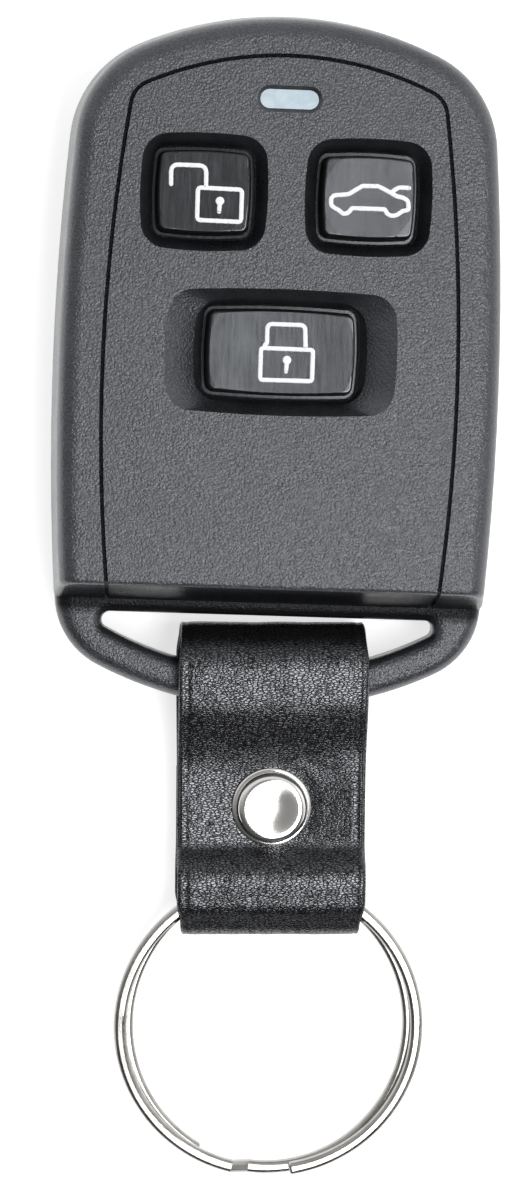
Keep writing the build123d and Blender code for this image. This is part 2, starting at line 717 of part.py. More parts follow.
def slope_to_fold(radius, run, height):
    """Slope of the run from a waist corner that is tangent to the fold."""
    return math.degrees(math.asin(radius / math.hypot(run, height)) - math.atan2(height, run))


def strap_band():
    """Side view of the band: upper fold, waist, lower fold and the lapped ends."""
    upper = UPPER_LOOP + LEATHER / 2
    lower = LOWER_LOOP + LEATHER / 2
    waist_near = WAIST_HALF - RIVET_DISTANCE
    waist_far = -WAIST_HALF - RIVET_DISTANCE
    front_near = FRONT_WAIST_HALF - RIVET_DISTANCE
    crest = waist_far - CREST_RUN
    tail = -FOLD_DISTANCE - lower
    front_slope = slope_to_fold(upper, -front_near, LAYER)
    back_slope = slope_to_fold(upper, -waist_near, 0)
    points = [
        (-RIVET_DISTANCE - END_OVERLAP, 0),
        (waist_near, 0),
        (upper, -fold_corner(upper, back_slope)),
        (upper, fold_corner(upper, front_slope)),
        (front_near, LAYER),
        (waist_far, LAYER),
        (crest, lower + FOLD_FLAT / 2),
        (tail, lower + FOLD_FLAT / 2),
        (tail, -lower - FOLD_FLAT / 2),
        (crest, -lower - FOLD_FLAT / 2),
        (waist_far, -LAYER),
        (waist_near - END_SHORT, -LAYER),
    ]
    radii = [WAIST_BEND, upper, upper, FRONT_BEND, WAIST_BEND, WAIST_BEND, lower, lower]
    radii += [WAIST_BEND, WAIST_BEND]
    return trace(FilletPolyline(*points, radius=radii), LEATHER)


def strap_plan():
    """Outline of the folded strap from above, drawn in a little at both folds."""
    half = STRAP_WIDTH / 2
    narrow = half - DRAW_IN
    top = UPPER_LOOP + LEATHER + PAST
    tail = -FOLD_DISTANCE - LOWER_LOOP
    right = [(narrow, top), (narrow, UPPER_LOOP), (half, UPPER_LOOP - DRAW_RUN), (half, tail + DRAW_RUN)]
    right += [(narrow, tail), (narrow, tail - LEATHER - PAST)]
    left = [(-x, y) for x, y in reversed(right)]
    return make_face(Polyline(*right, *left, close=True))


def strap():
    band = extrude(Plane.YZ * strap_band(), STRAP_WIDTH / 2, both=True)
    band &= slab(strap_plan(), -SPAN / 2, SPAN / 2)
    hole = Pos(0, -RIVET_DISTANCE, 0) * Cylinder(RIVET_SHANK + RIVET_HOLE_GAP, 6 * LEATHER)
    return strap_frame() * Pos(0, FOLD_FORWARD, 0) * (band - hole)


def rivet_place():
    return strap_frame() * Pos(0, FOLD_FORWARD - RIVET_DISTANCE, 0)


def rivet_cap():
    """Domed head with a thin rim and the shank that goes through the leather."""
    rim_top = RIVET_TOP + RIVET_RIM_THICK
    crown_z = RIVET_TOP + RIVET_RISE
    rim = post(0, 0, RIVET_RIM, RIVET_TOP, rim_top)
    rim = fillet(rim.edges().sort_by(Axis.Z)[-1:], RIVET_RIM_ROUND)
    dome = post(0, 0, RIVET_DOME, RIVET_TOP, crown_z)
    dome &= Pos(0, 0, crown_z - RIVET_CROWN) * Sphere(RIVET_CROWN)
    crown_edge = [edge for edge in dome.edges() if edge.is_closed and edge.center().Z > rim_top]
    dome = fillet(crown_edge, RIVET_EDGE)
    shank_end = -RIVET_TOP - RIVET_SOCKET + SHANK_GAP
    return rivet_place() * (rim + dome + post(0, 0, RIVET_SHANK, shank_end, rim_top))


def rivet_back():
    """Flat button pressed over the shank's end behind the strap."""
    low = -RIVET_TOP - RIVET_BACK_THICK
    body = post(0, 0, RIVET_BACK, low, -RIVET_TOP)
    body = fillet(body.edges().sort_by(Axis.Z)[:1], RIVET_BACK_ROUND)
    body -= post(0, 0, RIVET_SHANK + SHANK_GAP, -RIVET_TOP - RIVET_SOCKET, -RIVET_TOP)
    return rivet_place() * body


def ring_seat():
    """How far beyond the lower loop's centre the wire's inner edge sits in the fold."""
    room = LOWER_LOOP - WIRE_ROUND - RING_SEAT_GAP
    return WIRE_ROUND + math.sqrt(room**2 - (RING_HALF_HEIGHT - WIRE_ROUND) ** 2)


def ring_reach():
    """Distance from the lower loop's centre to the ring's centre.

    The oval lower turn bears on the fold first, at the strap's edges.
    """
    inner = TIP_RADIUS - WIRE_WIDTH / 2
    return TURN_SHIFT + math.sqrt(inner**2 - (STRAP_WIDTH / 2 - DRAW_IN) ** 2) + ring_seat()


def wire_section(angle, radius, height):
    flat = RectangleRounded(WIRE_WIDTH, WIRE_HEIGHT, WIRE_ROUND)
    return Rot(0, 0, angle) * Pos(radius, 0, height) * (Plane.XZ * flat)


def wire_arc(start, end, centre, radius, height):
    """Arc of wire between two angles about a centre."""
    section = wire_section(start, radius, height)
    return Pos(*centre) * revolve(section, Axis.Z, revolution_arc=end - start)


def round_end(turn, end_place):
    """Rounds the edges of the free end face that lies at a place."""
    end_face = turn.faces().sort_by_distance(end_place)[0]
    return fillet(end_face.edges(), WIRE_END_ROUND)


def upper_turn():
    """Round turn that stops short of the crank."""
    start = CRANK_AT + CRANK_HALF + CRANK_OPEN
    turn = wire_arc(start, CRANK_AT - CRANK_HALF + 360, (0, 0), RING_MIDDLE, COIL_OFFSET)
    return round_end(turn, wire_section(start, RING_MIDDLE, COIL_OFFSET).face().center())


def lower_turn():
    """Slightly oval turn: arcs of two radii that run into each other at 45 degrees."""
    end = CRANK_AT - CRANK_HALF - CRANK_OPEN + 360
    low = -COIL_OFFSET
    turn = wire_arc(CRANK_AT + CRANK_HALF, 45, (TURN_SHIFT, 0), TIP_RADIUS, low)
    turn += wire_arc(45, 135, (0, -TURN_SHIFT), SIDE_RADIUS_OF_TURN, low)
    turn += wire_arc(135, 225, (-TURN_SHIFT, 0), TIP_RADIUS, low)
    turn += wire_arc(225, 315, (0, TURN_SHIFT), SIDE_RADIUS_OF_TURN, low)
    turn += wire_arc(315, end, (TURN_SHIFT, 0), TIP_RADIUS, low)
    end_section = Pos(TURN_SHIFT, 0) * wire_section(end, TIP_RADIUS, low)
    return round_end(turn, end_section.face().center())


def crank():
    """Short ramp of wire from the upper to the lower turn."""
    high_end = wire_section(CRANK_AT - CRANK_HALF, RING_MIDDLE, COIL_OFFSET)
    low_end = Pos(TURN_SHIFT, 0) * wire_section(CRANK_AT + CRANK_HALF, TIP_RADIUS, -COIL_OFFSET)
    return loft([high_end.face(), low_end.face()], ruled=True)


def split_ring():
    """Two turns of wire joined by a crank; the lower turn leans on the fold and the table."""
    coil = Rot(0, 0, -90) * (lower_turn() + crank() + upper_turn())
    drop = LOWER_Z - FLOOR_GAP - RING_HALF_HEIGHT
    lean = math.degrees(math.asin(drop / (ring_reach() + RING_OUTER)))
    seat = Pos(0, FOLD_FORWARD - FOLD_DISTANCE, 0) * Rot(lean - STRAP_TILT, 0, 0)
    return strap_frame() * seat * Pos(0, -ring_reach(), 0) * coil


def build():
    nodes = {"front_cover": front_cover(), "rear_cover": rear_cover(), "lamp_window": lamp_window()}
    nodes["keypad_mat"] = keypad_mat()
    nodes["circuit_board"] = circuit_board()
    for button in BUTTONS:
        nodes[button.name + "_cap"] = button_cap(button)
        nodes[button.name + "_dome"] = mat_dome(button)
        nodes[button.name + "_switch"] = switch_body(button)
        nodes[button.name + "_plunger"] = switch_plunger(button)
    nodes["status_led"] = status_led()
    nodes["controller_chip"] = controller_chip()
    nodes["resonator_can"] = resonator_can()
    nodes["antenna_loop"] = antenna_loop()
    nodes["chip_parts"] = chip_parts()
    nodes["coin_cell"] = coin_cell()
    nodes["positive_clip"] = positive_clip()
    nodes["negative_contact"] = negative_contact()
    nodes["strap"] = strap()
    nodes["rivet_cap"] = rivet_cap()
    nodes["rivet_back"] = rivet_back()
    nodes["split_ring"] = split_ring()
    return nodes


os.makedirs("parts", exist_ok=True)
for name, shape in build().items():
    export_step(shape, os.path.join("parts", name + ".step"))
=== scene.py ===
import bpy
import math
import random
from mathutils import Matrix, Vector, noise


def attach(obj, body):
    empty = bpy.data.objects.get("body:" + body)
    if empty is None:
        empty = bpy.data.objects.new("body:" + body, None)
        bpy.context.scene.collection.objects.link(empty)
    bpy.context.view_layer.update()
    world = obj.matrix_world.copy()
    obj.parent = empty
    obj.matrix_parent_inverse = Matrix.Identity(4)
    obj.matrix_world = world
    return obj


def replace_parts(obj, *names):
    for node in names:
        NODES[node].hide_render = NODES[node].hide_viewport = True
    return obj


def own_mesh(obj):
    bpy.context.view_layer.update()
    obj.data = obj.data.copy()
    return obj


# Looks of the key fob: camera, light, surfaces, printed signs and the leather strap.
# Lengths are metres in Blender and millimetres (MM) where a number says so.
MM = 0.001

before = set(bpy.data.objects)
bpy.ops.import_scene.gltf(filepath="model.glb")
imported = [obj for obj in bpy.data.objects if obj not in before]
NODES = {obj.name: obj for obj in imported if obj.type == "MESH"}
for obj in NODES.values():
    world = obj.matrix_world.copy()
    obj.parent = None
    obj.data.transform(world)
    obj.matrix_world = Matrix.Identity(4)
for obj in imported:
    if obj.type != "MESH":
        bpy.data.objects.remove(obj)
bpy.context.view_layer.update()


# Shader helpers
def add(tree, kind, **settings):
    """New node with the given settings."""
    node = tree.nodes.new(kind)
    for key, value in settings.items():
        setattr(node, key, value)
    return node


def feed(tree, socket, value):
    """Links an output to an input, or writes a constant on it."""
    if isinstance(value, bpy.types.NodeSocket):
        tree.links.new(value, socket)
    else:
        socket.default_value = value


def place(tree, scale=(1, 1, 1), output="Object", unit=1 / MM):
    """Position on the piece in millimetres, stretched by scale."""
    mapping = add(tree, "ShaderNodeMapping")
    feed(tree, mapping.inputs["Vector"], add(tree, "ShaderNodeTexCoord").outputs[output])
    mapping.inputs["Scale"].default_value = [unit * factor for factor in scale]
    return mapping.outputs["Vector"]


def cloud(tree, where, scale, detail=2.0, rough=0.5, warp=0.0):
    """Soft noise between 0 and 1."""
    node = add(tree, "ShaderNodeTexNoise")
    feed(tree, node.inputs["Vector"], where)
    node.inputs["Scale"].default_value = scale
    node.inputs["Detail"].default_value = detail
    node.inputs["Roughness"].default_value = rough
    node.inputs["Distortion"].default_value = warp
    return node.outputs["Fac"]


def cells(tree, where, scale, feature="F1", scatter=1.0):
    """Distance inside the cells of a random pattern."""
    node = add(tree, "ShaderNodeTexVoronoi", feature=feature)
    feed(tree, node.inputs["Vector"], where)
    node.inputs["Scale"].default_value = scale
    node.inputs["Randomness"].default_value = scatter
    return node.outputs["Distance"]


def spread(tree, value, low, high, new_low, new_high):
    """Value mapped from one range to another and kept inside it."""
    node = add(tree, "ShaderNodeMapRange")
    feed(tree, node.inputs["Value"], value)
    for name, number in zip(("From Min", "From Max", "To Min", "To Max"), (low, high, new_low, new_high)):
        feed(tree, node.inputs[name], number)
    return node.outputs["Result"]


def maths(tree, a, b, operation="ADD"):
    """Two values joined by one operation."""
    node = add(tree, "ShaderNodeMath", operation=operation)
    feed(tree, node.inputs[0], a)
    feed(tree, node.inputs[1], b)
    return node.outputs["Value"]


def all_of(tree, *shares):
    """Product of several shares."""
    product = shares[0]
    for share in shares[1:]:
        product = maths(tree, product, share, "MULTIPLY")
    return product


def parts_of(tree, vector):
    """X, Y and Z of a vector."""
    split = add(tree, "ShaderNodeSeparateXYZ")
    feed(tree, split.inputs["Vector"], vector)
    return split.outputs


def tint(tree, share, a, b):
    """Colour a where share is 0, b where it is 1."""
    node = add(tree, "ShaderNodeMix", data_type="RGBA")
    feed(tree, node.inputs["Factor"], share)
    feed(tree, node.inputs["A"], (*a, 1) if isinstance(a, tuple) else a)
    feed(tree, node.inputs["B"], (*b, 1) if isinstance(b, tuple) else b)
    return node.outputs["Result"]


def relief(tree, height, depth_mm, strength=1.0):
    """Bumps of the given depth on the surface."""
    node = add(tree, "ShaderNodeBump")
    feed(tree, node.inputs["Height"], height)
    node.inputs["Distance"].default_value = depth_mm * MM
    feed(tree, node.inputs["Strength"], strength)
    return node.outputs["Normal"]


def surface(name, **inputs):
    """New material; inputs are Principled sockets with underscores for the spaces."""
    material = bpy.data.materials.new(name)
    material.use_nodes = True
    tree = material.node_tree
    tree.nodes.clear()
    shader = add(tree, "ShaderNodeBsdfPrincipled")
    tree.links.new(shader.outputs["BSDF"], add(tree, "ShaderNodeOutputMaterial").inputs["Surface"])
    for key, value in inputs.items():
        shader.inputs[key.replace("_", " ")].default_value = value
    return material, tree, shader


def finish_with(tree, shader, colour, roughness, normal):
    """Connects the three inputs that every surface here has."""
    feed(tree, shader.inputs["Base Color"], colour)
    feed(tree, shader.inputs["Roughness"], roughness)
    feed(tree, shader.inputs["Normal"], normal)


def level_share(tree, low, high):
    """1 on faces that look up or down, 0 on steep ones."""
    facing = parts_of(tree, add(tree, "ShaderNodeNewGeometry").outputs["Normal"])
    return spread(tree, maths(tree, facing["Z"], 0.0, "ABSOLUTE"), low, high, 0.0, 1.0)


# Where shade is painted on the case, in mm
MOAT_Z = 10.0
FACE_EDGE_Z = 12.45
LEDGE_Y = -22.1
LEDGE_Z = 6.8
END_WALL_Y = (-23.5, -19.6)


def painted_shade_share(tree):
    """1 where shade is painted: in the face's groove, on the moat floors, on the ledge in the corner by the
    slot and on the end wall.
    """
    facing = parts_of(tree, add(tree, "ShaderNodeNewGeometry").outputs["True Normal"])
    spot = parts_of(tree, place(tree))
    floors = all_of(
        tree,
        spread(tree, facing["Z"], 0.98, 0.995, 0.0, 1.0),
        spread(tree, spot["Z"], FACE_EDGE_Z, FACE_EDGE_Z + 0.1, 1.0, 0.0),
        spread(tree, spot["Z"], MOAT_Z, MOAT_Z + 0.4, 0.0, 1.0),
    )
    ledge = all_of(
        tree,
        spread(tree, spot["Y"], LEDGE_Y, LEDGE_Y + 0.8, 0.0, 1.0),
        spread(tree, spot["Z"], LEDGE_Z, LEDGE_Z + 0.1, 1.0, 0.0),
        spread(tree, facing["Z"], 0.3, 0.6, 0.0, 0.9),
    )
    end_wall = all_of(
        tree,
        spread(tree, facing["Y"], -0.75, -0.45, 0.85, 0.0),
        spread(tree, spot["Y"], END_WALL_Y[0], END_WALL_Y[0] + 1.0, 0.0, 1.0),
        spread(tree, spot["Y"], END_WALL_Y[1], END_WALL_Y[1] + 0.6, 1.0, 0.0),
    )
    return maths(tree, maths(tree, floors, ledge, "MAXIMUM"), end_wall, "MAXIMUM")


# Surfaces
COOL = (0.92, 0.95, 1.0, 1.0)
# Near-black colour painted on the case's recesses as shade
PAINTED_SHADE = (0.003, 0.003, 0.0035)
# Near-black painted shade for the caps' steep sides
CAP_FLANK_SHADE = (0.004, 0.004, 0.0045)


def moulded_plastic(name, dark, light, grain_mm, roughness, strength):
    """Spark-textured moulding: fine pits, slow patches in colour and shine, smoother steep walls, painted
    shade in the case's recesses.
    """
    material, tree, shader = surface(name, IOR=1.6)
    where = place(tree)
    level = level_share(tree, 0.72, 0.97)
    patches = cloud(tree, where, 0.35, 3.0, 0.6)
    pits = cloud(tree, where, 1 / grain_mm, 2.0, 0.62)
    crumbs = cells(tree, where, 0.7 / grain_mm)
    height = maths(tree, pits, maths(tree, crumbs, 0.6, "MULTIPLY"))
    colour = tint(tree, spread(tree, maths(tree, pits, patches), 0.75, 1.25, 0.0, 1.0), dark, light)
    # Painted shade: the groove, moat floors, ledge by the slot and end wall turn near black and lose most of
    # their shine
    sunk_shade = painted_shade_share(tree)
    colour = tint(tree, sunk_shade, colour, PAINTED_SHADE)
    glint = all_of(tree, spread(tree, crumbs, 0.1, 0.6, 1.0, 0.7), spread(tree, sunk_shade, 0.0, 1.0, 1.0, 0.08))
    feed(tree, shader.inputs["Specular IOR Level"], glint)
    shader.inputs["Specular Tint"].default_value = COOL
    shine = spread(tree, pits, 0.3, 0.7, roughness - 0.05, roughness + 0.08)
    shine = maths(tree, spread(tree, patches, 0.3, 0.7, -0.04, 0.04), shine)
    bump = relief(tree, height, 0.065, spread(tree, level, 0.0, 1.0, 0.25 * strength, strength))
    finish_with(tree, shader, colour, shine, bump)
    return material


def cap_plastic(name, dark, light, roughness):
    """Satin cap: faint upright streaks from polishing, a few scratches and painted shade on its steep sides.
    """
    material, tree, shader = surface(name, IOR=1.56)
    streaks = cloud(tree, place(tree, (4.0, 0.35, 1.0)), 1.0, 3.0, 0.6)
    scratches = cells(tree, place(tree, (1.6, 0.5, 1.0)), 1.0, "DISTANCE_TO_EDGE")
    fine = cloud(tree, place(tree), 7.0, 2.0)
    flat = level_share(tree, 0.90, 0.995)
    colour = tint(tree, spread(tree, streaks, 0.3, 0.7, 0.0, 1.0), dark, light)
    # Painted shade: the cap's steep sides turn near black
    colour = tint(tree, flat, CAP_FLANK_SHADE, colour)
    feed(tree, shader.inputs["Specular IOR Level"], spread(tree, flat, 0.0, 1.0, 0.3, 0.95))
    shader.inputs["Specular Tint"].default_value = COOL
    line = spread(tree, scratches, 0.0, 0.012, 0.05, 0.0)
    shine = maths(tree, spread(tree, streaks, 0.3, 0.7, roughness - 0.03, roughness + 0.05), line)
    shine = maths(tree, shine, spread(tree, flat, 0.0, 1.0, 0.3, 0.0))
    bump = relief(tree, maths(tree, fine, maths(tree, streaks, 0.5, "MULTIPLY")), 0.005, 0.35)
    finish_with(tree, shader, colour, shine, bump)
    return material


def window_plastic():
    """Pale, cloudy light pipe with moulding swirls."""
    material, tree, shader = surface("lamp_window", Specular_IOR_Level=0.5, Subsurface_Weight=0.15)
    shader.inputs["Subsurface Radius"].default_value = (0.6, 0.7, 0.8)
    shader.inputs["Subsurface Scale"].default_value = 0.4 * MM
    swirl = cloud(tree, place(tree), 1.1, 3.0, 0.55, 0.6)
    colour = tint(tree, spread(tree, swirl, 0.35, 0.65, 0.0, 1.0), (0.49, 0.595, 0.67), (0.57, 0.67, 0.725))
    bump = relief(tree, cloud(tree, place(tree), 5.0, 2.0), 0.01, 0.3)
    finish_with(tree, shader, colour, spread(tree, swirl, 0.3, 0.7, 0.28, 0.4), bump)
    return material


def plated_metal(name, colour_a, colour_b, roughness, brush=(1, 1, 1), wear=0.4):
    """Plated metal: slow clouding, hairlines along brush, small pits."""
    material, tree, shader = surface(name, Metallic=1.0)
    clouding = cloud(tree, place(tree), 0.6, 3.0, 0.6)
    hairs = cloud(tree, place(tree, brush), 6.0, 2.0, 0.7)
    pits = cells(tree, place(tree), 2.2)
    colour = tint(tree, spread(tree, clouding, 0.3, 0.7, 0.0, 1.0), colour_a, colour_b)
    shine = spread(tree, clouding, 0.3, 0.7, roughness - 0.03, roughness + 0.05)
    shine = maths(tree, shine, spread(tree, hairs, 0.3, 0.7, -0.02, 0.03))
    height = maths(tree, hairs, spread(tree, pits, 0.0, 0.12, -1.0, 0.0))
    finish_with(tree, shader, colour, shine, relief(tree, height, 0.006, wear))
    return material


def leather_skin():
    """Black finished leather: flat pebbles drawn out across the strap, with dull seams between them."""
    material, tree, shader = surface("leather", IOR=1.66, Specular_Tint=COOL)
    where = place(tree, (1, 1, 1), "UV", 1.0)
    bend = cloud(tree, where, 0.55, 2.0)
    shifted = add(tree, "ShaderNodeVectorMath", operation="ADD")
    feed(tree, shifted.inputs[0], place(tree, (2.6, 6.0, 1.0), "UV", 1.0))
    feed(tree, shifted.inputs[1], maths(tree, bend, 1.3, "MULTIPLY"))
    pebbles = cells(tree, shifted.outputs["Vector"], 1.0, "SMOOTH_F1", 0.95)
    seams = cells(tree, shifted.outputs["Vector"], 1.0, "DISTANCE_TO_EDGE", 0.95)
    seams = spread(tree, seams, 0.0, 0.22, 0.0, 1.0)
    fine = cloud(tree, place(tree, (6.0, 11.0, 1.0), "UV", 1.0), 1.0, 2.0, 0.6)
    slow = cloud(tree, where, 0.22, 2.0)
    height = maths(tree, maths(tree, seams, 0.8, "MULTIPLY"), maths(tree, fine, 0.9, "MULTIPLY"))
    height = maths(tree, height, maths(tree, pebbles, -0.5, "MULTIPLY"))
    worn = all_of(tree, seams, spread(tree, slow, 0.3, 0.7, 0.4, 1.0))
    colour = tint(tree, worn, (0.005, 0.0049, 0.0055), (0.010, 0.0098, 0.011))
    glint = all_of(tree, seams, spread(tree, fine, 0.38, 0.62, 0.28, 1.0))
    feed(tree, shader.inputs["Specular IOR Level"], spread(tree, glint, 0.05, 0.8, 0.03, 1.0))
    shine = maths(tree, spread(tree, seams, 0.0, 1.0, 0.30, 0.16), spread(tree, fine, 0.3, 0.7, -0.03, 0.05))
    finish_with(tree, shader, colour, shine, relief(tree, height, 0.016, 0.85))
    return material


def raw_edge():
    """Cut and inked edge of the leather, with fibres along it."""
    material, tree, shader = surface("leather_edge", Specular_IOR_Level=0.3)
    fibres = cloud(tree, place(tree, (1, 1, 6.0)), 2.2, 3.0, 0.7)
    share = spread(tree, fibres, 0.35, 0.65, 0.0, 1.0)
    colour = tint(tree, share, (0.010, 0.009, 0.009), (0.030, 0.027, 0.026))
    bump = relief(tree, fibres, 0.05, 0.7)
    finish_with(tree, shader, colour, spread(tree, fibres, 0.3, 0.7, 0.6, 0.85), bump)
    return material


def printed_ink():
    """White printed lines, slightly uneven and rubbed."""
    material, tree, shader = surface("ink", Specular_IOR_Level=0.35)
    blot = cloud(tree, place(tree), 6.0, 3.0, 0.7)
    colour = tint(tree, spread(tree, blot, 0.32, 0.5, 0.0, 1.0), (0.74, 0.76, 0.79), (0.93, 0.94, 0.95))
    finish_with(tree, shader, colour, spread(tree, blot, 0.3, 0.7, 0.45, 0.65), relief(tree, blot, 0.02, 0.4))
    return material


def soft_rubber():
    """Pale translucent silicone with a little dust."""
    material, tree, shader = surface("silicone", Specular_IOR_Level=0.35, Subsurface_Weight=0.1)
    shader.inputs["Subsurface Scale"].default_value = 0.5 * MM
    dust = cloud(tree, place(tree), 3.0, 4.0, 0.65)
    colour = tint(tree, spread(tree, dust, 0.35, 0.65, 0.0, 1.0), (0.36, 0.37, 0.37), (0.46, 0.46, 0.45))
    finish_with(tree, shader, colour, spread(tree, dust, 0.3, 0.7, 0.55, 0.7), relief(tree, dust, 0.02, 0.4))
    return material


def board_lacquer():
    """Green lacquer over copper tracks that run in steps, with tinned pads."""
    material, tree, shader = surface("board", Coat_Weight=0.4, Coat_Roughness=0.25)
    tracks = add(tree, "ShaderNodeTexBrick", offset=0.5)
    feed(tree, tracks.inputs["Vector"], place(tree, (0.55, 0.55, 0.55)))
    tracks.inputs["Mortar Size"].default_value = 0.09
    tracks.inputs["Brick Width"].default_value = 1.7
    tracks.inputs["Row Height"].default_value = 0.6
    pads = spread(tree, cells(tree, place(tree, (0.45, 0.45, 0.45)), 1.0, "F1", 0.35), 0.16, 0.19, 1.0, 0.0)
    weave = cloud(tree, place(tree, (1, 1, 1)), 4.0, 3.0)
    green = tint(tree, spread(tree, weave, 0.3, 0.7, 0.0, 1.0), (0.006, 0.055, 0.02), (0.010, 0.085, 0.032))
    copper = tint(tree, tracks.outputs["Fac"], green, (0.02, 0.13, 0.045))
    colour = tint(tree, pads, copper, (0.55, 0.54, 0.5))
    height = maths(tree, maths(tree, tracks.outputs["Fac"], pads), maths(tree, weave, 0.3, "MULTIPLY"))
    bump = relief(tree, height, 0.04, 0.6)
    finish_with(tree, shader, colour, spread(tree, weave, 0.3, 0.7, 0.3, 0.45), bump)
    return material


def fired_ceramic():
    """Speckled tan body of the small chip parts."""
    material, tree, shader = surface("ceramic")
    specks = cells(tree, place(tree), 5.0)
    colour = tint(tree, spread(tree, specks, 0.0, 0.6, 0.0, 1.0), (0.30, 0.24, 0.18), (0.46, 0.38, 0.29))
    bump = relief(tree, specks, 0.02, 0.5)
    finish_with(tree, shader, colour, spread(tree, specks, 0.0, 0.8, 0.35, 0.6), bump)
    return material


def lamp_body():
    """Hazy pale moulding of the status lamp."""
    material, tree, shader = surface("led_body", Coat_Weight=0.3, Coat_Roughness=0.15)
    haze = cloud(tree, place(tree), 2.6, 3.0)
    colour = tint(tree, spread(tree, haze, 0.3, 0.7, 0.0, 1.0), (0.72, 0.70, 0.62), (0.82, 0.81, 0.76))
    finish_with(tree, shader, colour, spread(tree, haze, 0.3, 0.7, 0.25, 0.4), relief(tree, haze, 0.01, 0.4))
    return material


# Darker and lighter colour of each plating
NICKEL = ((0.46, 0.443, 0.417), (0.57, 0.552, 0.521))
WIRE = ((0.30, 0.293, 0.28), (0.40, 0.39, 0.373))
STEEL = ((0.56, 0.55, 0.53), (0.66, 0.65, 0.63))
TIN = ((0.62, 0.61, 0.58), (0.74, 0.73, 0.70))


def dress():
    """Gives every CAD node that stays in view, or inside the case, its surface."""
    case = moulded_plastic("case_plastic", (0.015, 0.0157, 0.018), (0.028, 0.029, 0.033), 0.16, 0.30, 1.0)
    # Darker copy of the cap plastic, for the unlock cap only: painted shade
    cap_shaded = cap_plastic("cap_plastic_shaded", (0.010, 0.0115, 0.013), (0.014, 0.0155, 0.0175), 0.15)
    cap = cap_plastic("cap_plastic", (0.015, 0.017, 0.020), (0.020, 0.0225, 0.026), 0.17)
    epoxy = moulded_plastic("chip_epoxy", (0.012, 0.012, 0.012), (0.022, 0.022, 0.023), 0.1, 0.5, 0.5)
    switch = moulded_plastic("switch_nylon", (0.03, 0.03, 0.032), (0.045, 0.045, 0.048), 0.2, 0.45, 0.4)
    plunger = moulded_plastic("plunger_nylon", (0.32, 0.30, 0.26), (0.42, 0.40, 0.35), 0.2, 0.45, 0.4)
    steel = plated_metal("plated_steel", *STEEL, 0.25, (1, 4, 1))
    nickel = plated_metal("nickel", *NICKEL, 0.29, (1, 1, 1), 0.5)
    wire = plated_metal("ring_nickel", *WIRE, 0.2, (1, 1, 2), 0.3)
    tin = plated_metal("tinned_wire", *TIN, 0.32)
    rubber = soft_rubber()
    looks = {
        "front_cover": case, "rear_cover": case, "lamp_window": window_plastic(), "keypad_mat": rubber,
        "circuit_board": board_lacquer(), "unlock_cap": cap_shaded, "boot_cap": cap, "lock_cap": cap,
        "status_led": lamp_body(), "controller_chip": epoxy, "resonator_can": steel, "antenna_loop": tin,
        "chip_parts": fired_ceramic(), "coin_cell": steel, "positive_clip": steel, "negative_contact": steel,
        "rivet_cap": nickel, "rivet_back": nickel, "split_ring": wire,
    }
    for name in CAPS:
        looks[name + "_dome"] = rubber
        looks[name + "_switch"] = switch
        looks[name + "_plunger"] = plunger
    for name, material in looks.items():
        mesh = NODES[name].data
        mesh.materials.clear()
        mesh.materials.append(material)


# Signs printed on the caps. CAPS holds each cap's middle and width, and each line its points in mm
# from that middle, whether it closes, and the radius of its corners.
CAP_TOP_Z = 12.9
CAP_DISH_RADIUS = 250.0
LINE = 0.33
INK_CROWN = 0.03
INK_EDGE = 0.022
INK_SUNK = 0.02
INK_SKIRT = 0.03
KEYHOLE_RADIUS = 0.36
HEAD_SIDES = 24
CAPS = {"unlock": (-6.88, 13.95, 7.75), "boot": (6.88, 13.95, 7.75), "lock": (0.0, 0.8, 12.4)}
UNLOCK_LINES = [
    ([(-2.79, 0.53), (-2.84, 2.16), (0.10, 2.16), (0.13, 0.39)], False, 0.62),
    ([(-0.54, 0.33), (3.14, 0.27), (3.14, -2.41), (-0.53, -2.37)], True, 0.3),
]
UNLOCK_KEY = [(1.33, -0.73), (1.28, -1.62)]
BOOT_LINES = [
    ([(-3.16, -0.17), (-2.93, 0.09), (-1.72, 0.22), (-1.19, 0.57), (-0.58, 0.95), (0.74, 0.98),
      (1.76, 0.50), (2.26, 0.22), (2.95, 0.06), (3.28, -0.18), (3.36, -0.89), (2.83, -1.03),
      (2.40, -1.36), (1.98, -1.46), (1.58, -1.30), (1.36, -0.92), (-1.38, -0.92), (-1.71, -1.33),
      (-2.10, -1.44), (-2.47, -1.14), (-2.87, -0.95), (-3.15, -0.72)], True, 0.12),
    ([(1.86, 0.50), (2.46, 0.95), (3.34, 0.92)], False, 0.25),
]
LOCK_LINES = [
    ([(-1.71, 0.33), (2.65, 0.30), (2.65, -2.31), (-1.70, -2.33)], True, 0.25),
    ([(-1.42, 0.55), (-1.22, 0.75), (-1.24, 2.35), (1.92, 2.35), (2.02, 0.45)], False, 0.45),
]
LOCK_KEY = [(0.50, -0.61), (0.45, -1.58)]


def rounded_line(points, closed, radius, step=0.06):
    """Points along a polyline whose corners are rounded."""
    points = [Vector(point) for point in points]
    count = len(points)
    made = []
    for index, point in enumerate(points):
        if not closed and index in (0, count - 1):
            made.append(point)
            continue
        before = points[index - 1]
        after = points[(index + 1) % count]
        cut = min(radius, (before - point).length * 0.48, (after - point).length * 0.48)
        start = point + (before - point).normalized() * cut
        end = point + (after - point).normalized() * cut
        for share in (0.0, 0.25, 0.5, 0.75, 1.0):
            made.append(start.lerp(point, share).lerp(point.lerp(end, share), share))
    if closed:
        made.append(made[0])
    dense = []
    for a, b in zip(made, made[1:]):
        pieces = max(1, round((b - a).length / step))
        dense += [a.lerp(b, number / pieces) for number in range(pieces)]
    return dense if closed else dense + [made[-1]]


